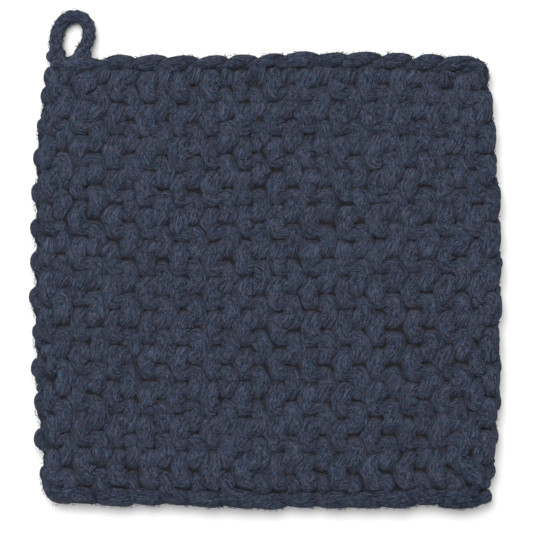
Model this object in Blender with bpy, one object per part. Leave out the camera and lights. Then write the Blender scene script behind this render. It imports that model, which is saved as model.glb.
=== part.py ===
"""Hand-knitted cotton pot holder with a hanging loop at one corner, lying flat with its face up.

Units are metres and +Z is up. The square is one thick garter-stitch fabric. Its ridges run from the
back edge (+Y) to the front edge (-Y), side by side along X. On each ridge the yarn shows as a chain
of S-shaped stitches: a left bump that flows at its lower half into a right bump half a stitch on.
The underside has the same ridges, set half a ridge to the side.
"""

import math
import random

import bmesh
import bpy
from mathutils import Vector

MM = 0.001

# Knitted square
WIDTH = 206.5 * MM  # across the ridges, at mid height
LENGTH = 201.0 * MM  # along the ridges, at mid width
THICKNESS = 12.0 * MM
RIDGES = 14
STITCHES = 12  # along each ridge
FIRST_ROW = 92.4 * MM  # where the stitches start, below the back selvage
LAST_ROW = -90.3 * MM  # where they end, above the front selvage
BUMP_RISE = 3.7 * MM  # from the valleys to the tops of the stitches
BUMP_SLOPE = 1.5 * MM  # run of the sides of a stitch, seen from above
RIM_BULGE = 1.6 * MM  # how far the yarn bellies out past the edge of the two faces
RIM_SLOPE = 1.2 * MM
VALLEY_WAVE = 1.1 * MM  # each bump bellies this far into the next ridge
RIDGE_SHIFT = 2.0 * MM  # the ridges lie this far to the right, but for the outer ones
SELVAGE_SLANT = 2.6 * MM  # lean of the edge stitches along the back and front edges
SELVAGE_RISE = 3.0 * MM
SELVAGE_SLOPE = 1.2 * MM
HAND_WOBBLE = 0.35 * MM  # unevenness of hand knitting

# How far the corners are drawn in from the middle of each edge, at the two ends of that edge
#              edge      first end     second end
DRAWN_IN = {
    "left": (7.0 * MM, 8.4 * MM),  # front corner, back corner
    "right": (3.7 * MM, 5.7 * MM),
    "front": (1.5 * MM, 1.5 * MM),  # left corner, right corner
    "back": (6.1 * MM, 2.8 * MM),
}
CORNER_ROUNDING = 1.6 * MM  # less where the loop is sewn on
LOOP_CORNER_ROUNDING = 0.2 * MM

# Hanging loop, a round cord sewn down at both ends on the back edge, next to the left corner
CORD_DIAMETER = 5.8 * MM
CORD_SCALLOP = 0.06  # ripple of the cord's crocheted chain, as a share of its radius
CORD_CHAIN = 2.9 * MM  # length of one ripple
SEAT_GAP = 0.7 * MM  # at the middle of the cord, about 0.3 mm where its end comes nearest
#           from the left edge, past the back edge (middle of the cord)
LOOP_ROUTE = [
    (11.8 * MM, 0.1 * MM),
    (11.2 * MM, 4.0 * MM),
    (11.1 * MM, 8.0 * MM),
    (11.8 * MM, 12.2 * MM),
    (13.8 * MM, 15.9 * MM),
    (17.0 * MM, 18.0 * MM),
    (20.1 * MM, 18.0 * MM),
    (23.2 * MM, 16.5 * MM),
    (25.2 * MM, 13.2 * MM),
    (25.7 * MM, 9.7 * MM),
    (25.3 * MM, 6.2 * MM),
    (24.8 * MM, 3.2 * MM),
    (24.7 * MM, 0.4 * MM),
]
LOOP_LIFT = 0.3 * MM  # of the cord's middle above its own radius, where it lies on the surface
LOOP_POINTS = 76
CURVE_STEPS = 24  # between two points of the route, to measure it by

COLUMNS = 2 * RIDGES  # half a ridge each
ROWS = 2 * STITCHES + 2  # half a stitch each, and one selvage at either end
HALF_STITCH = (FIRST_ROW - LAST_ROW) / (2 * STITCHES)


def clear_scene():
    for item in list(bpy.data.objects):
        bpy.data.objects.remove(item)


def cotton(name, color):
    """Matte cotton yarn of one colour."""
    material = bpy.data.materials.new(name)
    material.use_nodes = True
    shader = material.node_tree.nodes["Principled BSDF"]
    shader.inputs["Base Color"].default_value = (*color, 1.0)
    shader.inputs["Roughness"].default_value = 0.95
    shader.inputs["Metallic"].default_value = 0.0
    return material


def drawn_in(edge, along):
    """Distance from the straight edge line, at -1 to 1 along that edge."""
    first, second = DRAWN_IN[edge]
    return (second if along > 0 else first) * abs(along) ** 3


def row_y(row):
    """Height of a row line, counted from the back edge, before the edges are drawn in."""
    if row == 0:
        return LENGTH / 2 - RIM_BULGE
    if row == ROWS:
        return RIM_BULGE - LENGTH / 2
    return FIRST_ROW - (row - 1) * HALF_STITCH


def place(column, row, upper, wobble):
    """Where a crossing of the column and row lines lies on the upper or the lower face."""
    across = 2 * column / COLUMNS - 1
    y = row_y(row)
    along = 2 * y / LENGTH
    left = -WIDTH / 2 + RIM_BULGE + drawn_in("left", along)
    right = WIDTH / 2 - RIM_BULGE - drawn_in("right", along)
    x = left + (right - left) * (across + 1) / 2
    x += RIDGE_SHIFT * (1 - across**6)
    inside = 0 < row < ROWS and 0 < column < COLUMNS
    if inside and column % 2 == (0 if upper else 1):
        x += VALLEY_WAVE if row % 2 else -VALLEY_WAVE
    if row in (0, ROWS) and 0 < column < COLUMNS:
        x += SELVAGE_SLANT if (row == 0) == upper else -SELVAGE_SLANT
    if row in (0, ROWS) and column in (0, COLUMNS):
        has_loop = row == 0 and column == 0
        x -= math.copysign(LOOP_CORNER_ROUNDING if has_loop else CORNER_ROUNDING, across)
    y -= max(along, 0) ** 3 * drawn_in("back", 2 * x / WIDTH)
    y += max(-along, 0) ** 3 * drawn_in("front", 2 * x / WIDTH)
    if inside:
        x += wobble.uniform(-HAND_WOBBLE, HAND_WOBBLE)
        y += wobble.uniform(-HAND_WOBBLE, HAND_WOBBLE)
    z = THICKNESS - BUMP_RISE if upper else BUMP_RISE
    return Vector((x, y, z))


def stitch_of(column, row, upper):
    """Which stitch a small cell belongs to. A stitch is a left and a right bump, half a stitch apart."""
    if row == 0 or row == ROWS - 1:
        return upper, "selvage", row, column // 2
    half = row - 1
    if upper:
        return upper, "stitch", column // 2, half // 2 if column % 2 == 0 else (half - 1) // 2
    return upper, "stitch", (column + 1) // 2, half // 2 if column % 2 else (half + 1) // 2


def edge_stitch_of(center):
    """Which edge stitch a small cell of the rim belongs to."""
    if center.x < 0.01 or center.x > COLUMNS - 0.01:
        return "side", center.x > 1, int(center.y + 1) // 2
    return "end", center.y > 1, int(center.x) // 2


def knitted_square(material):
    """The whole fabric with its selvages: a thick sheet whose two faces and rim are raised in stitches."""
    mesh = bmesh.new()
    bmesh.ops.create_grid(mesh, x_segments=COLUMNS, y_segments=ROWS, size=0.5)
    bmesh.ops.scale(mesh, verts=mesh.verts, vec=(COLUMNS, ROWS, 1))
    bmesh.ops.translate(mesh, verts=mesh.verts, vec=(COLUMNS / 2, ROWS / 2, 0))
    sheet = bmesh.ops.extrude_face_region(mesh, geom=mesh.faces[:], use_keep_orig=True)
    upper_verts = [v for v in sheet["geom"] if isinstance(v, bmesh.types.BMVert)]
    bmesh.ops.translate(mesh, verts=upper_verts, vec=(0, 0, 1))
    bmesh.ops.recalc_face_normals(mesh, faces=mesh.faces)

    stitches = {}
    for face in mesh.faces:
        center = face.calc_center_median()
        if abs(face.normal.z) > 0.5:
            row = ROWS - 1 - int(center.y)
            stitch = stitch_of(int(center.x), row, center.z > 0.5)
        else:
            stitch = edge_stitch_of(center)
        stitches.setdefault(stitch, []).append(face)
    raised = {"face": [], "selvage": [], "rim": []}
    for stitch, cells in stitches.items():
        kind = "rim" if stitch[0] in ("side", "end") else "selvage" if stitch[1] == "selvage" else "face"
        joined = bmesh.ops.dissolve_faces(mesh, faces=cells) if len(cells) > 1 else {"region": cells}
        raised[kind] += joined["region"]

    wobble = random.Random(14)
    for vert in mesh.verts:
        column, row = round(vert.co.x), ROWS - round(vert.co.y)
        vert.co = place(column, row, vert.co.z > 0.5, wobble)
    mesh.normal_update()
    insets = {
        "face": (BUMP_SLOPE, BUMP_RISE),
        "selvage": (SELVAGE_SLOPE, SELVAGE_RISE),
        "rim": (RIM_SLOPE, RIM_BULGE),
    }
    for kind, (slope, rise) in insets.items():
        bmesh.ops.inset_individual(
            mesh, faces=raised[kind], thickness=slope, depth=rise, use_even_offset=True
        )
    bmesh.ops.recalc_face_normals(mesh, faces=mesh.faces)

    data = bpy.data.meshes.new("knitted_square")
    mesh.to_mesh(data)
    mesh.free()
    data.shade_smooth()
    data.set_sharp_from_angle(angle=math.radians(50))
    data.materials.append(material)
    square = bpy.data.objects.new("knitted_square", data)
    bpy.context.collection.objects.link(square)
    return square


def smooth_route(points, count):
    """Points at even steps along a smooth curve through the given points."""
    dense = []
    padded = [2 * points[0] - points[1], *points, 2 * points[-1] - points[-2]]
    for a, b, c, d in zip(padded, padded[1:], padded[2:], padded[3:]):
        for step in range(CURVE_STEPS):
            t = step / CURVE_STEPS
            square = (2 * a - 5 * b + 4 * c - d) * t**2
            cube = (3 * b - a - 3 * c + d) * t**3
            dense.append((2 * b + (c - a) * t + square + cube) / 2)
    dense.append(points[-1])
    lengths = [0.0]
    for start, end in zip(dense, dense[1:]):
        lengths.append(lengths[-1] + (end - start).length)
    route, segment = [], 0
    for index in range(count):
        wanted = lengths[-1] * index / (count - 1)
        while segment < len(dense) - 2 and lengths[segment + 1] < wanted:
            segment += 1
        share = (wanted - lengths[segment]) / (lengths[segment + 1] - lengths[segment])
        route.append(dense[segment].lerp(dense[segment + 1], share))
    return route, lengths[-1]


def hanging_loop(material):
    """The cord loop. It leaves the edge at half the fabric's thickness and sags onto the surface."""
    radius = CORD_DIAMETER / 2
    reach = max(past for _, past in LOOP_ROUTE)
    points = []
    for from_left, past in LOOP_ROUTE:
        edge = LENGTH / 2 - drawn_in("back", 2 * from_left / WIDTH - 1) + SEAT_GAP
        fall = math.sin(math.pi / 2 * past / reach)
        z = THICKNESS / 2 + (radius + LOOP_LIFT - THICKNESS / 2) * fall
        points.append(Vector((from_left - WIDTH / 2, edge + past, z)))
    route, length = smooth_route(points, LOOP_POINTS)
    ripples = round(length / CORD_CHAIN)
    curve = bpy.data.curves.new("hanging_loop", "CURVE")
    curve.dimensions = "3D"
    curve.bevel_depth = radius
    curve.bevel_resolution = 3
    curve.use_fill_caps = True
    spline = curve.splines.new("POLY")
    spline.points.add(LOOP_POINTS - 1)
    for index, (point, position) in enumerate(zip(spline.points, route)):
        point.co = (*position, 1.0)
        point.radius = 1 + CORD_SCALLOP * math.cos(2 * math.pi * ripples * index / (LOOP_POINTS - 1))
    spline.use_smooth = True
    curve.materials.append(material)
    loop = bpy.data.objects.new("hanging_loop", curve)
    bpy.context.collection.objects.link(loop)
    return loop


def centre_on_origin(pieces):
    """Hangs the pieces on one empty, moved so that the middle of the underside of all is the origin."""
    bpy.context.view_layer.update()
    graph = bpy.context.evaluated_depsgraph_get()
    corners = []
    for piece in pieces:
        evaluated = piece.evaluated_get(graph)
        corners += [vert.co.copy() for vert in evaluated.to_mesh().vertices]
        evaluated.to_mesh_clear()
    low = Vector([min(corner[axis] for corner in corners) for axis in range(3)])
    high = Vector([max(corner[axis] for corner in corners) for axis in range(3)])
    holder = bpy.data.objects.new("pot_holder", None)
    bpy.context.collection.objects.link(holder)
    holder.location = (-(low.x + high.x) / 2, -(low.y + high.y) / 2, -low.z)
    for piece in pieces:
        piece.parent = holder


clear_scene()
navy = cotton("navy_cotton", (0.040, 0.050, 0.080))
centre_on_origin([knitted_square(navy), hanging_loop(cotton("navy_cord", (0.038, 0.048, 0.080)))])
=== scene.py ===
"""Hand-knitted cotton pot holder in navy, lying face up, with a small crocheted hanging loop.

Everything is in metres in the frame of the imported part: +X is to the right, +Y is to the back edge,
where the loop is sewn on, and +Z is up. The knit is garter stitch: 14 ridges side by side, with 12
S-shaped stitches down each.
"""

import math
import random

import bmesh
import bpy
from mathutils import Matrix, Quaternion, Vector, noise
from mathutils.bvhtree import BVHTree


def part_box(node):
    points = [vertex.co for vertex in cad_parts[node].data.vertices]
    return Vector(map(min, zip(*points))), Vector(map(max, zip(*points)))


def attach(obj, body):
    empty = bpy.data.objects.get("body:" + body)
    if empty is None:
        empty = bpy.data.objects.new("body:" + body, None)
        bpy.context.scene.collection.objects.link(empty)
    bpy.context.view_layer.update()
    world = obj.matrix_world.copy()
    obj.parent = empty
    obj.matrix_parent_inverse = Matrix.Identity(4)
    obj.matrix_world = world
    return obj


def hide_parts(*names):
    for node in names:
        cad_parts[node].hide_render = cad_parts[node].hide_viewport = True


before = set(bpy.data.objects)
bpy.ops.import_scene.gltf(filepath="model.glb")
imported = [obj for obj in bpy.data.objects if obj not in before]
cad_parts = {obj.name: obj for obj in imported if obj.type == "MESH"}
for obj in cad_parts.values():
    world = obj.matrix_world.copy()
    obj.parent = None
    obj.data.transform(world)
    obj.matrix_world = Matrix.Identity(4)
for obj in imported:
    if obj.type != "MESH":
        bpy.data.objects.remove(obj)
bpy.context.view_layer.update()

MM = 0.001

# ---------------------------------------------------------------------------------------------------
# The cotton yarn. It is a thick soft roving of navy cotton, spun from fifteen fine threads that lie
# almost straight along it, with a little lighter and darker fibre and a few bright blue slubs.
# ---------------------------------------------------------------------------------------------------

NAVY_DARK = (0.002, 0.003, 0.007, 1)
NAVY = (0.0216, 0.0268, 0.0462, 1)
NAVY_LIGHT = (0.082, 0.102, 0.162, 1)
GREY_FIBRE = (0.058, 0.048, 0.075, 1)
BLUE_FIBRE = (0.017, 0.051, 0.092, 1)
# painted shade: the dark colour given to yarn lying low in the creases between stitches, where shade
# falls
CREVICE_PAINTED_SHADE = (0.028, 0.021, 0.022, 1)
SLUB_BLUE = (0.03, 0.12, 0.26, 1)
THREADS = 15  # fine threads around the yarn
YARN_TURN = 38.0  # by how many threads' widths they turn round it in a metre
YARN_THICKNESS = 7.2 * MM
FLAT = 0.84  # how high the yarn is for its width
BLOCKY = 4.0  # how square it is seen from above, where 2 is a circle
ROUND = 3.0  # how square it is from there to its top, where 2 is a circle
LUMPS = 310.0  # lumps in a metre, where the yarn is spun thicker or thinner
LUMPY = 0.09  # how far they stand out, of its radius
RESTING = 0.15 * MM  # how low the yarn goes: there the table presses it flat


class Fibre:
    """A socket of a material's nodes. A sum written on it adds Math nodes to that material."""

    def __init__(self, tree, socket=None):
        self.tree = tree
        self.socket = socket

    def node(self, kind, settings, sockets, output=0):
        """A node of any kind: its settings first, then the values or links of its sockets."""
        made = self.tree.nodes.new("ShaderNode" + kind)
        for name, value in settings.items():
            if name == "stops":
                ramp = made.color_ramp
                while len(ramp.elements) < len(value):
                    ramp.elements.new(1.0)
                for element, (place, colour) in zip(ramp.elements, value):
                    element.position = place
                    element.color = colour
            else:
                setattr(made, name, value)
        for name, value in sockets.items():
            if isinstance(value, Fibre):
                self.tree.links.new(value.socket, made.inputs[name])
            else:
                made.inputs[name].default_value = value
        return Fibre(self.tree, made.outputs[output])

    def math(self, operation, first, second=0.0):
        return self.node("Math", {"operation": operation}, {0: first, 1: second})

    def __add__(self, other):
        return self.math("ADD", self, other)

    __radd__ = __add__

    def __sub__(self, other):
        return self.math("SUBTRACT", self, other)

    def __rsub__(self, other):
        return self.math("SUBTRACT", other, self)

    def __mul__(self, other):
        return self.math("MULTIPLY", self, other)

    __rmul__ = __mul__

    def clamped(self, low, high):
        """0 where this is at low, 1 where it is at high, and smooth between."""
        return self.node(
            "MapRange",
            {"interpolation_type": "SMOOTHSTEP"},
            {"Value": self, "From Min": low, "From Max": high},
        )


def mixed(share, first, second):
    """One colour turning into another."""
    return share.node(
        "Mix", {"data_type": "RGBA"}, {0: share, 6: first, 7: second}, output=2
    )


def cotton(name, tint=(1, 1, 1), threads=THREADS, thickness=YARN_THICKNESS):
    """Spun cotton. The threads follow the yarn's own UV map: round it in X, along it in Y, in metres."""
    material = bpy.data.materials.new(name)
    material.use_nodes = True
    tree = material.node_tree
    shader = tree.nodes["Principled BSDF"]
    start = Fibre(tree)

    uv = start.node("UVMap", {"uv_map": "yarn"}, {})
    split = uv.node("SeparateXYZ", {}, {"Vector": uv})
    around = split
    along = Fibre(tree, split.socket.node.outputs[1])
    turn = around * (2 * math.pi)
    radius = thickness / 2
    wrapped = start.node(
        "CombineXYZ",
        {},
        {
            0: start.math("COSINE", turn) * radius,
            1: start.math("SINE", turn) * radius,
            2: along * 0.30,
        },
    )
    place = start.node("TexCoord", {}, {}, output=3)

    fibres = start.node(
        "TexNoise",
        {},
        {"Vector": wrapped, "Scale": 2100.0, "Detail": 3.0, "Roughness": 0.65, "Distortion": 1.1},
    )
    wander = start.node(
        "TexNoise", {}, {"Vector": wrapped, "Scale": 620.0, "Detail": 3.0, "Roughness": 0.6}
    )
    patches = start.node(
        "TexNoise", {}, {"Vector": place, "Scale": 95.0, "Detail": 3.0, "Roughness": 0.6}
    )
    specks = start.node(
        "TexNoise",
        {},
        {"Vector": place, "Scale": 2700.0, "Detail": 3.0, "Roughness": 0.75, "Distortion": 1.2},
    )
    slubs = start.node(
        "TexNoise", {}, {"Vector": place, "Scale": 330.0, "Detail": 1.0, "Roughness": 0.4}
    )

    phase = around * threads + along * YARN_TURN + wander * 3.4
    ridges = start.math("SINE", phase * (2 * math.pi)) * 0.5 + 0.5
    heather = (fibres * 0.5 + specks * 0.5).clamped(0.44, 0.56)
    shade = heather * 0.80 + ridges * 0.08 + patches.clamped(0.3, 0.7) * 0.12

    colour = start.node(
        "ValToRGB",
        {"stops": [(0.0, NAVY_DARK), (0.5, NAVY), (1.0, NAVY_LIGHT)]},
        {"Fac": shade},
    )
    dyed = start.node(
        "TexNoise", {}, {"Vector": place, "Scale": 800.0, "Detail": 4.0, "Roughness": 0.75}
    )
    colour = mixed(dyed.clamped(0.52, 0.60) * 0.6, colour, GREY_FIBRE)
    colour = mixed((1 - dyed).clamped(0.52, 0.60) * 0.6, colour, BLUE_FIBRE)
    colour = mixed(slubs.clamped(0.78, 0.82) * 0.8, colour, SLUB_BLUE)
    # painted shade: where the yarn lies low between its neighbours, its colour is darkened towards the
    # crease shade colour
    sunk = start.node("Attribute", {"attribute_name": "sunk"}, {}, output=2)
    colour = mixed(sunk.clamped(0.1, 0.9) * 0.9, colour, CREVICE_PAINTED_SHADE)
    if tint != (1, 1, 1):
        colour = start.node(
            "Mix",
            {"data_type": "RGBA", "blend_type": "MULTIPLY"},
            {0: 1.0, 6: colour, 7: (*tint, 1)},
            output=2,
        )

    tree.links.new(colour.socket, shader.inputs["Base Color"])
    shader.inputs["Roughness"].default_value = 0.92
    shader.inputs["Specular IOR Level"].default_value = 0.12
    shader.inputs["Sheen Weight"].default_value = 0.03
    shader.inputs["Sheen Roughness"].default_value = 0.6
    bump = start.node(
        "Bump",
        {},
        {
            "Strength": 1.0,
            "Distance": 0.55 * MM,
            "Height": ridges * 0.6 + fibres * 0.9 + specks * 0.3,
        },
    )
    tree.links.new(bump.socket, shader.inputs["Normal"])
    return material


def to_surface(out, radius, flat=FLAT, blocky=BLOCKY):
    """The way from the middle of the yarn to its surface, in the direction out."""
    level = abs(out.x) ** blocky + abs(out.y) ** blocky
    swell = (level ** (ROUND / blocky) + abs(out.z) ** ROUND) ** (-1 / ROUND)
    return Vector((out.x, out.y, out.z * flat)) * (swell * radius)


def lay_yarn(bm, run, sides=8, flat=FLAT, blocky=BLOCKY, lead=0.0):
    """A length of yarn along run, a list of (place, radius, how much painted shade it gets), closed at
    both ends.

    Soft yarn that is pressed in among its neighbours is blocky seen from above, and a little flat.
    """
    tube = bmesh.new()
    uv_layer = tube.loops.layers.uv.new("yarn")
    painted_shade_layer = tube.verts.layers.float.new("sunk")
    out_layer = tube.verts.layers.float_vector.new("out")
    bmesh.ops.create_circle(tube, cap_ends=True, segments=sides, radius=1.0)
    face = list(tube.faces)[0]
    corners = [vert.co.copy() for vert in face.verts]
    places = [place for place, radius, sunk in run]
    heading = (places[1] - places[0]).normalized()
    turn = heading.to_track_quat("Z", "Y")
    length = 0.0
    stamp = {}
    reached = []
    for number, (place, radius, sunk) in enumerate(run):
        before = places[max(number - 1, 0)]
        after = places[min(number + 1, len(places) - 1)]
        ahead = (after - before).normalized()
        turn = heading.rotation_difference(ahead) @ turn
        heading = ahead
        length += (place - before).length
        reached.append(length)
        if number:
            face = bmesh.ops.extrude_discrete_faces(tube, faces=[face])["faces"][0]
        for corner, vert in enumerate(face.verts):
            out = turn @ corners[corner]
            vert.co = place + to_surface(out, radius, flat, blocky)
            vert.co += noise.noise_vector(vert.co * LUMPS) * (LUMPY * radius)
            vert.co.z = max(vert.co.z, RESTING)
            vert[painted_shade_layer] = sunk
            vert[out_layer] = out
            stamp[vert] = (number, corner)
    bmesh.ops.holes_fill(tube, edges=tube.edges, sides=sides)
    bmesh.ops.recalc_face_normals(tube, faces=tube.faces)
    for side in tube.faces:
        side.smooth = True
        last = {stamp[vert][1] for vert in side.verts} == {0, sides - 1}
        for loop in side.loops:
            number, corner = stamp[loop.vert]
            corner = sides if last and corner == 0 else corner
            loop[uv_layer].uv = (corner / sides, lead + reached[number])
    piece = bpy.data.meshes.new("length")
    tube.to_mesh(piece)
    tube.free()
    bm.from_mesh(piece)
    bpy.data.meshes.remove(piece)


def finished(name, bm, material, levels=1):
    """A piece of the object from bm, rounded by subdivision and riding on the body."""
    mesh = bpy.data.meshes.new(name)
    bm.to_mesh(mesh)
    bm.free()
    mesh.materials.append(material)
    piece = bpy.data.objects.new(name, mesh)
    bpy.context.scene.collection.objects.link(piece)
    if levels:
        rounding = piece.modifiers.new("rounding", "SUBSURF")
        rounding.levels = levels
        rounding.render_levels = levels
    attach(piece, "root")
    return piece


def new_knit():
    """An empty mesh that takes lengths of yarn, with their UV map and what each place of them keeps."""
    bm = bmesh.new()
    bm.loops.layers.uv.new("yarn")
    bm.verts.layers.float.new("sunk")
    bm.verts.layers.float_vector.new("out")
    return bm


navy_cotton = cotton("navy cotton")

# ---------------------------------------------------------------------------------------------------
# The layout of the knit. The ridges run from the back edge to the front edge. A place on the knit is
# counted in half ridges from the left edge (columns) and in half stitches from the back edge (lines).
# ---------------------------------------------------------------------------------------------------

WIDTH = 206.5 * MM
LENGTH = 201.0 * MM
RIDGES = 14
HALF = RIDGES // 2  # each face is two pieces of so many ridges
STITCHES = 12
COLUMNS = 2 * RIDGES
LINES = 2 * STITCHES + 2
FIRST_LINE = 92.4 * MM
LAST_LINE = -90.3 * MM
RIM = 1.6 * MM  # how far the yarn of the edge bellies out past the face
RIDGE_SHIFT = 2.0 * MM  # how far right the ridges lie of an even layout
FABRIC_MIDDLE = 6.0 * MM  # half its thickness
UNEVEN = 0.35 * MM  # how far hand knitting strays, a whole stitch at a time
WOBBLE = 0.25 * MM  # how far the yarn strays within a stitch
WOBBLE_UP = 0.1 * MM
UNEVEN_YARN = 0.05  # how much thicker or thinner one stitch is than another, as a share
TIGHT_EDGE = 1.5 * MM  # how far the right edge is drawn in past its last ridge
TIGHT_OVER = 0.6  # half ridges over which it is drawn in
SLIM = 0.97  # how thick the yarn of the upper face is laid, before it is pressed together
PAINTED_SHADE_BELOW = 8.6  # height (mm) below which painted shade darkens the yarn, where it lies low between its neighbours
PAINTED_SHADE_DEPTH = 4.0  # how much lower the painted shade is at its darkest (mm)
OPEN_EDGE = 1.5  # half ridges or half stitches near an edge where the painted shade is less
UNDER_INSET = 0.35  # how far in from the side edges the underside stays, in half ridges
UNDER_BACK = 1.1  # and from the back edge, in half stitches
UNDER_FRONT = 1.0

# How far the corners are drawn in from the middle of each edge, at the two ends of that edge
DRAWN_IN = {
    "left": (7.0 * MM, 8.4 * MM),  # front corner, back corner
    "right": (3.7 * MM, 5.7 * MM),
    "front": (1.5 * MM, 1.5 * MM),  # left corner, right corner
    "back": (6.1 * MM, 2.8 * MM),
}

# How far the stitches are pulled to the right and to the back of an even layout (mm), at five places
# across and, from the back to the front, six places along
PULLED_FROM = 2  # the line of the first of the six
PULLED_OVER = 20  # lines from it to the last
PULLED_RIGHT = [
    [-1.3, -1.3, -2.8, -3.0, -2.2],
    [0.6, 0.0, -1.0, -1.4, -1.1],
    [0.9, 0.7, -0.5, -0.1, 0.2],
    [1.2, 0.9, 0.0, -0.0, 1.3],
    [1.4, 0.7, -0.0, -0.5, 1.5],
    [1.1, -0.7, -1.9, -2.3, -0.9],
]
PULLED_BACK = [
    [1.3, -1.3, -1.1, -0.7, -1.5],
    [2.2, -0.6, 0.2, 0.5, 0.4],
    [2.2, -0.6, 0.2, 0.3, 1.1],
    [2.0, -0.0, -0.2, 0.2, 1.3],
    [1.5, 0.1, -0.6, -0.7, 1.5],
    [1.0, 0.1, -0.7, -1.0, 1.3],
]

square_low, square_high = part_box("knitted_square")
knit_middle = (square_low + square_high) / 2
KNITTER = 29  # where everything uneven starts from, so that each run knits the same pot holder
hand = random.Random(KNITTER)
noise.seed_set(KNITTER)


def eased(values, at):
    """The value at a place between evenly spaced values, on a smooth line through them."""
    at = min(max(at, 0), len(values) - 1)
    first = min(int(at), len(values) - 2)
    share = at - first
    before, after = values[max(first - 1, 0)], values[min(first + 2, len(values) - 1)]
    start, end = values[first], values[first + 1]
    return 0.5 * (
        2 * start
        + (end - before) * share
        + (2 * before - 5 * start + 4 * end - after) * share**2
        + (3 * start - before - 3 * end + after) * share**3
    )


def drawn_in(edge, along):
    """How far an edge is drawn in, at -1 to 1 along it."""
    first, second = DRAWN_IN[edge]
    return (second if along > 0 else first) * abs(along) ** 3


def line_y(line):
    """How far back a line of half stitches lies, from the middle of the knit."""
    if line < 1:
        return LENGTH / 2 - RIM + line * (FIRST_LINE - LENGTH / 2 + RIM)
    if line > LINES - 1:
        return LAST_LINE + (line - LINES + 1) * (RIM - LENGTH / 2 - LAST_LINE)
    return FIRST_LINE + (line - 1) * (LAST_LINE - FIRST_LINE) / (LINES - 2)


def spot(column, line, height):
    """A place on the knit, at a height in metres."""
    across = 2 * column / COLUMNS - 1
    y = line_y(line)
    along = 2 * y / LENGTH
    left = -WIDTH / 2 + RIM + drawn_in("left", along)
    right = WIDTH / 2 - RIM - drawn_in("right", along)
    x = left + (right - left) * (across + 1) / 2 + RIDGE_SHIFT * (1 - min(abs(across), 1) ** 6)
    y -= max(along, 0) ** 3 * drawn_in("back", 2 * x / WIDTH)
    y += max(-along, 0) ** 3 * drawn_in("front", 2 * x / WIDTH)
    at = (
        (column - 1) / (COLUMNS - 2) * (len(PULLED_RIGHT[0]) - 1),
        (line - PULLED_FROM) / PULLED_OVER * (len(PULLED_RIGHT) - 1),
    )
    pulled = [
        eased([eased(row, at[0]) for row in table], at[1]) for table in (PULLED_RIGHT, PULLED_BACK)
    ]
    x += pulled[0] * MM * (1 - min(abs(across), 1) ** 12)
    x -= TIGHT_EDGE * min(1, max(0, (column - COLUMNS + 1) / TIGHT_OVER))
    y += pulled[1] * MM * (1 - min(abs(along), 1) ** 12)
    return Vector((x + knit_middle.x, y + knit_middle.y, height))


def knit_run(steps, column, line, mirror=1, under=False):
    """The run of a stitch whose steps are (half ridges across, stitches down, height mm, radius mm)."""
    nudge = Vector((hand.gauss(0, UNEVEN), hand.gauss(0, UNEVEN), hand.gauss(0, 0.5 * UNEVEN)))
    fuller = (1 if under else SLIM) * (1 + hand.gauss(0, UNEVEN_YARN))
    run = []
    for across, down, height, radius in steps:
        here = column + mirror * across
        below = line + 2 * down
        # painted shade: the lower the yarn lies between its neighbours, the darker its colour is made,
        # less so near the open edges
        sunk = min(1, max(0, (PAINTED_SHADE_BELOW - height) / PAINTED_SHADE_DEPTH))
        sunk *= min(1, max(0, min(here, COLUMNS - here, below, LINES - below) / OPEN_EDGE))
        height = 2 * FABRIC_MIDDLE - height * MM if under else height * MM
        if under:
            here = min(max(here, UNDER_INSET), COLUMNS - UNDER_INSET)
            below = min(max(below, UNDER_BACK), LINES - UNDER_FRONT)
        place = spot(here, below, height) + nudge
        place += Vector((hand.gauss(0, WOBBLE), hand.gauss(0, WOBBLE), hand.gauss(0, WOBBLE_UP)))
        run.append((place, radius * MM * fuller, sunk))
    return run


def finer(run):
    """The same run with a step more between every two."""
    lines = list(zip(*run))
    return [tuple(eased(line, step / 2) for line in lines) for step in range(2 * len(run) - 1)]


# ---------------------------------------------------------------------------------------------------
# The stitches of the upper face. Each shows as an S: it comes up from under the stitch above, bellies
# left, crosses the ridge on a slant and bellies right, and its end turns in over the next stitch.
# ---------------------------------------------------------------------------------------------------

#   across, down, height, radius
STITCH = [
    (-0.33, 0.17, 3.0, 4.7),
    (-0.36, 0.14, 5.6, 5.1),
    (-0.44, 0.17, 7.5, 5.3),
    (-0.58, 0.32, 7.9, 5.1),
    (-0.60, 0.47, 7.9, 5.1),
    (-0.54, 0.61, 7.8, 5.1),
    (-0.29, 0.66, 7.7, 4.6),
    (-0.02, 0.66, 7.6, 3.9),
    (0.26, 0.69, 7.7, 4.4),
    (0.49, 0.74, 7.9, 5.1),
    (0.53, 0.91, 8.0, 5.1),
    (0.45, 1.05, 8.0, 5.1),
    (0.34, 1.14, 7.6, 5.1),
    (0.27, 1.17, 5.6, 5.0),
    (0.24, 1.15, 3.4, 4.5),
]

#   on the first ridge, where the yarn from round the edge lies beside it
FIRST_STITCH = [
    (-0.16, 0.17, 3.0, 3.9),
    (-0.18, 0.14, 5.6, 4.3),
    (-0.22, 0.17, 7.5, 4.5),
    (-0.29, 0.32, 7.9, 4.4),
    (-0.28, 0.47, 7.9, 4.4),
    (-0.20, 0.60, 7.8, 4.5),
] + STITCH[7:]

#   above the first stitches and on the last ones, where only part of the stitch shows
STITCH_ABOVE = [
    (0.36, 1.02, 4.4, 3.8),
    (0.38, 1.03, 6.6, 4.4),
    (0.37, 1.06, 8.0, 4.8),
] + STITCH[12:]
LAST_TURN = [
    (-0.50, 0.71, 7.8, 5.7),
    (-0.26, 0.78, 7.7, 5.3),
    (-0.02, 0.78, 7.5, 4.8),
    (0.24, 0.78, 7.6, 4.8),
    (0.46, 0.86, 7.6, 5.1),
    (0.48, 0.96, 6.9, 5.1),
    (0.44, 1.01, 4.8, 4.6),
]

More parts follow.
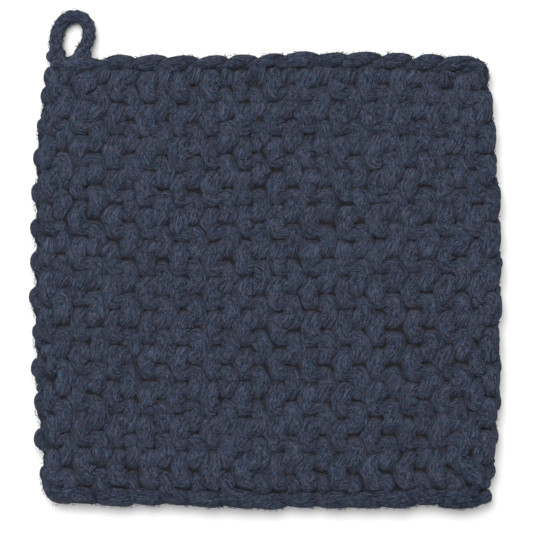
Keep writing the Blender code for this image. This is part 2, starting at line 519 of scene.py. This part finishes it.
#   the last stitch of all is drawn out into a long strand to the corner
LAST_STRAND = [
    (-1.80, 0.10, 3.5, 3.2),
    (-1.65, 0.16, 6.4, 4.0),
    (-1.00, 0.47, 8.2, 4.4),
    (-0.20, 0.74, 8.4, 4.3),
    (0.42, 0.93, 7.8, 4.0),
    (0.76, 1.06, 5.6, 3.3),
]

face_pieces = []
face_runs = []
edge_runs = []
for half in range(2):
    bm = new_knit()
    for ridge in range(HALF * half, HALF * half + HALF):
        for stitch in range(-1, STITCHES):
            steps = STITCH_ABOVE if stitch < 0 else STITCH
            if ridge == 0 and stitch >= 0:
                steps = FIRST_STITCH
            if stitch == STITCHES - 1:
                steps = LAST_STRAND if ridge == RIDGES - 1 else steps[:5] + LAST_TURN
            run = knit_run(steps, 2 * ridge + 1, 2 * stitch + 1)
            face_runs.append(run)
            lay_yarn(bm, finer(run), lead=hand.uniform(0, 4))
    piece = finished(f"face_stitches_{half + 1}", bm, navy_cotton)
    face_pieces.append(piece)

# ---------------------------------------------------------------------------------------------------
# The stitches of the underside: the same garter stitch seen from below, so mirrored from above, half
# a ridge to the side and half a stitch along.
# ---------------------------------------------------------------------------------------------------

for half in range(2):
    bm = new_knit()
    for ridge in range(HALF * half, HALF * half + HALF + half):
        for stitch in range(STITCHES + 1):
            if ridge == RIDGES:
                steps = STITCH[7:]
            elif ridge == 0:
                steps = STITCH[:8]
            else:
                steps = STITCH
            if stitch == STITCHES:
                steps = [step for step in steps if step[1] < 0.9]
            if len(steps) < 3:
                continue
            run = knit_run(steps, 2 * ridge, 2 * stitch, mirror=-1, under=True)
            lay_yarn(bm, run, lead=hand.uniform(0, 4))
    piece = finished(f"under_stitches_{half + 1}", bm, navy_cotton)

# ---------------------------------------------------------------------------------------------------
# The side edges. On the left the yarn of each turn comes round the edge from below, slants across to
# the first ridge, and another turn of it goes down round the edge to the next stitch. On the right it
# drops round the edge from one stitch to the next.
# ---------------------------------------------------------------------------------------------------

LEFT_WRAP = [
    (0.95, -0.06, 3.0, 2.7),
    (0.48, 0.06, 3.9, 3.2),
    (0.40, 0.30, 6.2, 3.4),
    (0.50, 0.56, 7.8, 3.6),
    (0.82, 0.80, 7.9, 3.5),
    (1.25, 0.96, 6.4, 3.0),
    (1.55, 1.02, 4.6, 2.4),
]

#   lower down, from one of them to the next
LEFT_TURN = [
    (1.00, 0.58, 4.6, 2.6),
    (0.50, 0.70, 4.8, 3.3),
    (0.32, 0.88, 4.7, 3.5),
    (0.40, 1.08, 4.3, 3.4),
    (0.95, 1.26, 3.8, 2.8),
]
RIGHT_WRAP = [
    (-0.9, 0.92, 5.0, 2.6),
    (-0.42, 1.02, 6.6, 3.2),
    (-0.27, 1.24, 6.0, 3.4),
    (-0.27, 1.50, 4.6, 3.4),
    (-0.40, 1.72, 3.7, 3.2),
    (-0.85, 1.86, 3.4, 2.7),
]

#   the last one is thinner and lies further in
LAST_RIGHT_WRAP = [
    (across - 0.08, down, height, 0.8 * radius) for across, down, height, radius in RIGHT_WRAP
]

bm = new_knit()
for stitch in range(STITCHES):
    wraps = [knit_run(LEFT_WRAP, 0, 2 * stitch + 1)]
    if stitch < STITCHES - 1:
        wraps.append(knit_run(LEFT_TURN, 0, 2 * stitch + 1))
        steps = RIGHT_WRAP if stitch < STITCHES - 2 else LAST_RIGHT_WRAP
        wraps.append(knit_run(steps, COLUMNS, 2 * stitch + 1))
    for run in wraps:
        edge_runs.append(run)
        lay_yarn(bm, run, lead=hand.uniform(0, 4))
side_edges = finished("side_edges", bm, navy_cotton)

# ---------------------------------------------------------------------------------------------------
# The back edge, where the stitches were cast on: a chain of slanting strokes, one to a ridge, each
# starting under the one before, with a second row of them below.
# ---------------------------------------------------------------------------------------------------

BACK_STROKE = [
    (-0.60, 0.92, 5.8, 2.6),
    (-0.30, 0.84, 7.4, 3.3),
    (0.25, 0.66, 8.1, 3.7),
    (0.90, 0.47, 8.3, 3.7),
    (1.50, 0.37, 8.0, 3.5),
    (2.00, 0.36, 7.0, 3.0),
    (2.35, 0.42, 5.2, 2.3),
]

#   the last of them turns down round the right corner
BACK_CORNER = [
    (-1.90, 0.24, 5.8, 2.6),
    (-1.30, 0.18, 7.6, 3.4),
    (-0.70, 0.16, 8.0, 3.7),
    (-0.34, 0.24, 7.8, 3.9),
    (-0.28, 0.46, 7.4, 3.9),
    (-0.34, 0.76, 6.6, 3.4),
    (-0.60, 0.96, 4.8, 2.8),
]

BACK_RISE = 0.13  # how much further back they lie from the fifth ridge on

bm = new_knit()
for ridge in range(-1, RIDGES):
    for under in (False, True):
        column = 2 * ridge + (0 if under else 1)
        rise = BACK_RISE * min(1, max(0, (column - 9) / 4))
        steps = [
            (across, (down - rise) / 2, height, radius)
            for across, down, height, radius in BACK_STROKE
            if 0.35 < column + across < COLUMNS - 0.3
        ]
        if len(steps) > 2:
            run = knit_run(steps, column, 0.7 if under else 0, under=under)
            edge_runs.append(run)
            lay_yarn(bm, run, lead=hand.uniform(0, 4))
run = knit_run(BACK_CORNER, COLUMNS, 0)
edge_runs.append(run)
lay_yarn(bm, run)
back_edge = finished("back_edge", bm, navy_cotton)

# ---------------------------------------------------------------------------------------------------
# The front edge, where the stitches were bound off: flatter strokes that lean the other way, one to a
# ridge, with a second row of them below.
# ---------------------------------------------------------------------------------------------------

FRONT_STROKE = [
    (-0.60, 0.28, 5.4, 3.4),
    (-0.15, 0.36, 6.9, 4.7),
    (0.50, 0.40, 7.5, 5.0),
    (1.20, 0.45, 7.5, 5.1),
    (1.80, 0.48, 6.7, 4.7),
    (2.30, 0.46, 5.2, 3.6),
]

#   the end of the yarn, which is tucked in along the edge and comes out at the corner
TAIL = [
    (-2.60, 0.36, 5.4, 2.6),
    (-1.90, 0.38, 7.6, 3.3),
    (-1.10, 0.38, 8.2, 3.5),
    (-0.30, 0.36, 8.0, 3.3),
    (0.55, 0.30, 7.6, 3.0),
    (1.30, 0.27, 6.8, 2.8),
]

#   the first of the strokes comes round the left corner
FRONT_CORNER = [
    (1.25, -0.62, 6.8, 3.2),
    (0.55, -0.50, 7.6, 3.9),
    (0.22, -0.25, 7.6, 4.2),
    (0.20, 0.05, 7.4, 4.3),
    (0.45, 0.28, 7.2, 4.2),
    (1.00, 0.33, 6.6, 3.6),
    (1.60, 0.30, 5.0, 2.6),
]

bm = new_knit()
for ridge in range(-1, RIDGES):
    for under in (False, True):
        if ridge < 0 and not under:
            continue
        column = 2 * ridge + (0 if under else 1)
        steps = [
            (across, down / 2, height, radius)
            for across, down, height, radius in FRONT_STROKE
            if -0.1 < column + across < COLUMNS - 0.1
        ]
        if len(steps) > 2:
            run = knit_run(steps, column, LINES - (1.15 if under else 1), under=under)
            edge_runs.append(run)
            lay_yarn(bm, run, lead=hand.uniform(0, 4))
for run in (knit_run(FRONT_CORNER, 0, LINES - 1), knit_run(TAIL, COLUMNS - 1, LINES - 1)):
    edge_runs.append(run)
    lay_yarn(bm, run)
front_edge = finished("front_edge", bm, navy_cotton)

# ---------------------------------------------------------------------------------------------------
# The knit is pulled tight, so its soft yarn gives way until it meets its neighbours: of the gaps
# between the stitches of the upper face only narrow creases are left, darkened with painted shade.
# ---------------------------------------------------------------------------------------------------

PRESSES = 4
PRESSED_ABOVE = 4.0 * MM  # the height from which the yarn is pressed
SIDEWAYS = 0.3  # how far its surface has to face sideways for that, where 1 is wholly
REACH = 6.0 * MM  # how wide an open place may be for the yarn to spread into it at all
SPREAD = 1.2 * MM  # how far it spreads at most, each time it is pressed
YIELD = 2.2 * MM  # how far it gives way at most where it would lie into its neighbour
YARN_WIDTH = 11.0 * MM  # as wide as the yarn gets, so how far off its neighbour's far side may be
SLIT = 0.4 * MM  # what stays open between two stitches
OFF_SURFACE = 0.02  # how far off its own surface a line to the next one starts (mm)
CREASE_TOP = 11.0 * MM  # the height where painted shade begins to darken the yarn in a crease
CREASE_FLOOR = 8.3 * MM  # the height where that painted shade is darkest


def skin_of(pieces):
    """The surfaces of these pieces, for finding what a straight line from a place meets."""
    points, sides = [], []
    for piece in pieces:
        first = len(points)
        points += [vert.co.copy() for vert in piece.data.vertices]
        sides += [[first + corner for corner in face.vertices] for face in piece.data.polygons]
    return BVHTree.FromPolygons(points, sides)


upper = face_pieces + [side_edges, back_edge, front_edge]
for press in range(PRESSES):
    neighbours = skin_of(upper)
    for piece in upper:
        outs = piece.data.attributes["out"].data
        painted_shades = piece.data.attributes["sunk"].data
        for vert in piece.data.vertices:
            ahead = Vector((outs[vert.index].vector.x, outs[vert.index].vector.y, 0))
            share = ahead.length
            if share < SIDEWAYS or vert.co.z < PRESSED_ABOVE:
                continue
            ahead.normalize()
            start = vert.co + ahead * OFF_SURFACE * MM
            met, facing, index, distance = neighbours.ray_cast(start, ahead, YARN_WIDTH)
            if met is None:
                continue
            if facing.dot(ahead) < 0:
                if distance > REACH:
                    continue
                spread = min(max(distance - SLIT, 0) / 2, SPREAD) * (1 - (distance / REACH) ** 2)
                vert.co += ahead * share**2 * spread
            else:
                start = vert.co - ahead * OFF_SURFACE * MM
                met, facing, index, distance = neighbours.ray_cast(start, -ahead, 2 * YIELD)
                if met is not None and facing.dot(ahead) < 0:
                    vert.co -= ahead * share * (distance + SLIT) / 2
            # painted shade: yarn pressed low into a crease has its colour darkened
            crease_shade = (CREASE_TOP - vert.co.z) / (CREASE_TOP - CREASE_FLOOR)
            painted_shades[vert.index].value = max(painted_shades[vert.index].value, min(1, max(0, crease_shade)))

# ---------------------------------------------------------------------------------------------------
# The nap: loose ends of fibre that have worked out of the soft yarn. They lie curled on the upper face,
# and along the edges they stand off as short hairs.
# ---------------------------------------------------------------------------------------------------

FIBRES = 14  # to a stitch
FIBRE_RADIUS = 0.10 * MM
BENDS = 6  # places along a fibre or a hair
ROUNDED_OFF = 0.25 * MM  # how far the rounding draws the surface in
OUTSIDE = 1.12  # how far out a line down to the surface starts, where 1 is the yarn as it was laid


def on_skin(skin, middle, radius, out):
    """The place on the yarn's surface, straight out from its middle, or None where yarn lies on it."""
    out = to_surface(out, radius)
    met, facing, index, distance = skin.ray_cast(middle + out * OUTSIDE, -out.normalized(), radius)
    if met is None or facing.dot(out) < 0:
        return None
    return met - out.normalized() * ROUNDED_OFF


knit_skin = skin_of(upper)
bm = new_knit()
for run in face_runs + edge_runs:
    places = [place for place, radius, sunk in run]
    radii = [radius for place, radius, sunk in run]
    for number in range(FIBRES):
        at = hand.uniform(1.0, len(run) - 2.0)
        lean = hand.uniform(-0.9, 0.9)
        stride = hand.choice((-1, 1)) * hand.uniform(0.06, 0.34)
        drift = hand.uniform(-0.22, 0.22)
        curl = hand.uniform(-0.10, 0.10)
        lift = hand.uniform(-0.05, 0.25) * MM
        fibre = []
        for bend in range(BENDS):
            heading = eased(places, at + 0.1) - eased(places, at - 0.1)
            if heading.length < 0.01 * MM:
                break
            beside = heading.cross(Vector((0, 0, 1)))
            if beside.length < 0.2 * heading.length:
                break
            beside.normalize()
            out = beside * math.sin(lean) + beside.cross(heading).normalized() * math.cos(lean)
            place = on_skin(knit_skin, eased(places, at), eased(radii, at), out)
            if place is None:
                break
            fibre.append((place + out * lift, FIBRE_RADIUS, 0))
            at += stride
            lean += drift
            drift += curl
        if len(fibre) > 3:
            lay_yarn(bm, fibre, sides=3, flat=1.0, blocky=2.0, lead=hand.uniform(0, 4))
loose_fibre = cotton("loose fibre", tint=(1.3, 1.5, 1.6))
nap = finished("loose_fibres", bm, loose_fibre, levels=0)


FRINGE = 60  # hairs that stand off a length of yarn at the edge
HAIR_RADIUS = 0.10 * MM
HAIR_RISE = 0.22  # how far a hair rises from one bend to the next, at its foot (mm)
HAIR_RUN = 0.30  # how far it runs along the surface meanwhile
HAIR_FALL = 0.09  # how much less it rises at each bend
HAIR_SWING = 0.6  # how far it may turn aside there, in radians


def add_hairs(bm, skin, run, count):
    """Hairs that stand off the surface of a length of yarn and bend back towards it."""
    places = [place for place, radius, sunk in run]
    radii = [radius for place, radius, sunk in run]
    for number in range(count):
        at = hand.uniform(0.4, len(run) - 1.4)
        heading = (eased(places, at + 0.1) - eased(places, at - 0.1)).normalized()
        out = heading.orthogonal()
        out.rotate(Quaternion(heading, hand.uniform(0, 2 * math.pi)))
        place = on_skin(skin, eased(places, at), eased(radii, at), out)
        if place is None:
            continue
        swing = Quaternion(out, hand.uniform(0, 2 * math.pi))
        course = out * HAIR_RISE + (swing @ heading) * HAIR_RUN
        hair = []
        for bend in range(BENDS):
            hair.append((place.copy(), HAIR_RADIUS, 0))
            place = place + course * MM
            course -= out * HAIR_FALL
            course.rotate(Quaternion(out, hand.uniform(-HAIR_SWING, HAIR_SWING)))
        lay_yarn(bm, hair, sides=3, flat=1.0, blocky=2.0, lead=hand.uniform(0, 4))


bm = new_knit()
for run in edge_runs:
    add_hairs(bm, knit_skin, run, FRINGE)
# painted highlight: the hairs along the edges are tinted lighter than the yarn, for a bright rim round
# the outline
edge_fibre_rim_highlight = cotton("edge fibre painted highlight", tint=(1.5, 1.8, 2.0))
edge_hairs = finished("edge_hairs", bm, edge_fibre_rim_highlight, levels=0)

# ---------------------------------------------------------------------------------------------------
# The inside of the knit: the hidden legs of the stitches, pressed together between the two faces into
# one dense sheet. It is what shows at the bottom of the gaps between the stitches.
# ---------------------------------------------------------------------------------------------------

INSIDE_THICKNESS = 6.2 * MM
INSIDE_WAVES = 0.7 * MM  # how high the hidden legs stand out of it
INSIDE_ACROSS = 0.472  # how far it reaches to each side of the middle, of the whole width
INSIDE_ALONG = 0.468
INSIDE_LENGTH = 0.1  # metres of thread from its middle to its end

bm = bmesh.new()
bmesh.ops.create_grid(bm, x_segments=4 * RIDGES, y_segments=4 * STITCHES + 4, size=1.0)
uv_layer = bm.loops.layers.uv.new("yarn")
painted_shade_layer = bm.verts.layers.float.new("sunk")
for face in bm.faces:
    face.smooth = True
    for loop in face.loops:
        loop[uv_layer].uv = (loop.vert.co.x * RIDGES, loop.vert.co.y * INSIDE_LENGTH)
for vert in bm.verts:
    column = COLUMNS * (0.5 + INSIDE_ACROSS * vert.co.x)
    line = LINES * (0.5 - INSIDE_ALONG * vert.co.y)
    lift = INSIDE_WAVES * math.cos(math.pi * column) * math.cos(math.pi * line)
    vert.co = spot(column, line, FABRIC_MIDDLE + INSIDE_THICKNESS / 2 + lift)
    # painted shade: the whole sheet takes the full dark crease colour
    vert[painted_shade_layer] = 1.0
bmesh.ops.solidify(bm, geom=bm.verts[:] + bm.edges[:] + bm.faces[:], thickness=INSIDE_THICKNESS)
bmesh.ops.recalc_face_normals(bm, faces=bm.faces)
# painted shade: its colour is also tinted darker than the yarn's
inside = finished("knit_inside", bm, cotton("navy cotton inside painted shade", tint=(0.68, 0.68, 0.75)), levels=0)
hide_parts("knitted_square")

# ---------------------------------------------------------------------------------------------------
# The hanging loop: a crocheted chain of thinner yarn, bent round and sewn down at both ends on the
# back edge, next to the left corner.
# ---------------------------------------------------------------------------------------------------

CORD_RADIUS = 2.9 * MM
CORD_PLACES = 200  # places along its middle
LINK = 2.9 * MM  # how far apart its links are
LINK_YARN = 1.5 * MM  # radius
CORE_RADIUS = 2.7 * MM  # of what shows between the links
CORE_DROP = 0.4 * MM
FUZZ_RADIUS = 3.4 * MM  # out to the links, where its hairs stand
LOOP_HAIRS = 220
LOOP_LIFT = 0.3 * MM  # how far off the table its far end lies
SEAT_GAP = 0.7 * MM  # from the outline of the knit, to where the route below starts
FINE = 16  # steps from one place of the route to the next
#           from the left edge, past the back edge (middle of the cord)
LOOP_ROUTE = [
    (12.2 * MM, 0.1 * MM),
    (11.4 * MM, 4.0 * MM),
    (11.2 * MM, 8.0 * MM),
    (11.8 * MM, 12.2 * MM),
    (13.8 * MM, 15.9 * MM),
    (17.0 * MM, 18.0 * MM),
    (20.1 * MM, 18.0 * MM),
    (23.2 * MM, 16.5 * MM),
    (25.2 * MM, 13.2 * MM),
    (25.7 * MM, 9.7 * MM),
    (24.9 * MM, 6.2 * MM),
    (23.2 * MM, 3.2 * MM),
    (21.6 * MM, 0.4 * MM),
]
#   along, across, up (mm): one link of the chain, out and back
LINK_STEPS = [
    (-2.3, 0.30, -0.9),
    (-1.0, 1.50, -0.1),
    (0.7, 1.95, 0.4),
    (2.1, 1.20, 0.7),
    (2.7, 0.0, 0.8),
    (2.1, -1.20, 0.7),
    (0.7, -1.95, 0.4),
    (-1.0, -1.50, -0.1),
    (-2.3, -0.30, -0.9),
]
#   the yarn that sews it down, and the knot of its end: from the left edge, past the back edge, height,
#   radius (mm)
SEWING = [
    [
        (11.0, 2.0, 5.0, 1.9),
        (14.0, -1.2, 6.6, 2.2),
        (18.0, -1.7, 7.2, 2.3),
        (22.5, 0.0, 7.0, 2.4),
        (26.4, 1.4, 5.6, 2.0),
    ],
    [
        (9.6, -2.6, 6.2, 2.2),
        (13.5, -2.6, 8.2, 2.6),
        (18.5, -3.4, 8.8, 2.7),
        (23.0, -2.8, 8.4, 2.6),
        (27.0, -1.4, 7.0, 2.1),
    ],
    [(14.6, 3.2, 4.6, 1.7), (13.2, 1.2, 7.0, 2.0), (15.6, -1.8, 8.6, 2.2), (16.6, -4.4, 8.2, 2.0)],
    [(24.6, 3.6, 4.8, 1.8), (22.2, 1.6, 7.2, 2.1), (19.8, -1.4, 8.8, 2.2), (20.2, -4.2, 8.2, 1.9)],
    [(9.8, 3.6, 4.2, 1.6), (8.7, 2.4, 5.0, 2.0), (9.4, 0.6, 5.4, 2.0), (11.2, -0.6, 5.6, 1.8)],
]


def smooth_run(points, count):
    """count places spaced evenly along a smooth line through points."""
    line = [eased(points, step / FINE) for step in range(FINE * (len(points) - 1) + 1)]
    reached = [0.0]
    for first, second in zip(line, line[1:]):
        reached.append(reached[-1] + (second - first).length)
    places = []
    step = 0
    for number in range(count):
        wanted = reached[-1] * number / (count - 1)
        while step < len(line) - 2 and reached[step + 1] < wanted:
            step += 1
        share = (wanted - reached[step]) / (reached[step + 1] - reached[step])
        places.append(line[step].lerp(line[step + 1], share))
    return places, reached[-1]


def beside_edge(from_left, past, height):
    """A place near the back edge, so far from the left edge and past the outline of the knit."""
    edge = LENGTH / 2 - drawn_in("back", 2 * from_left / WIDTH - 1) + SEAT_GAP
    return Vector((from_left - WIDTH / 2 + knit_middle.x, edge + past + knit_middle.y, height))


reach = max(past for from_left, past in LOOP_ROUTE)
loop_points = []
for from_left, past in LOOP_ROUTE:
    fall = math.sin(math.pi / 2 * past / reach)
    height = FABRIC_MIDDLE + (CORD_RADIUS + LOOP_LIFT - FABRIC_MIDDLE) * fall
    loop_points.append(beside_edge(from_left, past, height))
cord_places, cord_length = smooth_run(loop_points, CORD_PLACES)

navy_cord = cotton("navy cord", threads=5, thickness=2.4 * MM)
bm = new_knit()
links = round(cord_length / LINK)
for link in range(links):
    number = int((link + 0.5) / links * (CORD_PLACES - 1))
    place = cord_places[number]
    before = cord_places[max(number - 3, 0)]
    after = cord_places[min(number + 3, CORD_PLACES - 1)]
    ahead = (after - before).normalized()
    across = ahead.cross(Vector((0, 0, 1))).normalized()
    up = across.cross(ahead)
    run = [
        (place + (ahead * a + across * c + up * u) * MM, LINK_YARN, 0) for a, c, u in LINK_STEPS
    ]
    lay_yarn(bm, run, sides=6, flat=1.0, blocky=2.0, lead=hand.uniform(0, 4))
core = [(place - Vector((0, 0, CORE_DROP)), CORE_RADIUS, 0) for place in cord_places[::5]]
wider_core = [(place, FUZZ_RADIUS, 0) for place, radius, sunk in core]
lay_yarn(bm, core, flat=1.0, blocky=2.0)
for strand in SEWING:
    bends = [beside_edge(a * MM, b * MM, c * MM) for a, b, c, radius in strand]
    thickness = [radius * MM for a, b, c, radius in strand]
    run = []
    for step in range(3 * len(strand) - 2):
        run.append((eased(bends, step / 3), eased(thickness, step / 3), 0))
    lay_yarn(bm, run, flat=0.95, blocky=2.0, lead=hand.uniform(0, 4))
hanging_loop = finished("hanging_loop_chain", bm, navy_cord)
bm = new_knit()
add_hairs(bm, skin_of([hanging_loop]), wider_core, LOOP_HAIRS)
loop_hairs = finished("loop_hairs", bm, loose_fibre, levels=0)
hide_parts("hanging_loop")

# ---------------------------------------------------------------------------------------------------
# The stage: a plain white table, soft light from all round with a large lamp above, and the camera
# straight above, as in the photograph.
# ---------------------------------------------------------------------------------------------------

bpy.ops.mesh.primitive_plane_add(size=6.0)
table = bpy.context.object
table.name = "table"
table_paint = bpy.data.materials.new("white table")
table_paint.use_nodes = True
paint = table_paint.node_tree.nodes["Principled BSDF"]
paint.inputs["Base Color"].default_value = (0.9, 0.9, 0.9, 1)
paint.inputs["Roughness"].default_value = 0.9
table.data.materials.append(table_paint)


def lamp(name, place, size, power):
    """A round lamp that points at the middle of the object."""
    light = bpy.data.lights.new(name, "AREA")
    light.shape = "DISK"
    light.size = size
    light.energy = power
    made = bpy.data.objects.new(name, light)
    made.location = place
    made.rotation_euler = (-Vector(place)).to_track_quat("-Z", "Y").to_euler()
    bpy.context.scene.collection.objects.link(made)


lamp("softbox", (-0.25, 0.55, 1.35), 1.1, 21.0)
world = bpy.data.worlds.new("studio")
bpy.context.scene.world = world
world.use_nodes = True
world.node_tree.nodes["Background"].inputs["Color"].default_value = (1, 1, 1, 1)
world.node_tree.nodes["Background"].inputs["Strength"].default_value = 0.62

PIXEL = 0.437 * MM
PHOTO_WIDTH = 533  # in pixels
VIEW = PHOTO_WIDTH * PIXEL  # what the photograph takes in, at half the thickness of the knit
VIEW_MIDDLE = (0.0001, -0.0028)
camera_data = bpy.data.cameras.new("camera")
camera_data.sensor_width = 36.0
camera_data.lens = 150.0
camera = bpy.data.objects.new("camera", camera_data)
distance = VIEW * camera_data.lens / camera_data.sensor_width
camera.location = (*VIEW_MIDDLE, FABRIC_MIDDLE + distance)
camera_data.clip_start = 0.1
camera_data.clip_end = 20.0
bpy.context.scene.collection.objects.link(camera)
bpy.context.scene.camera = camera
bpy.context.scene.view_settings.view_transform = "Standard"
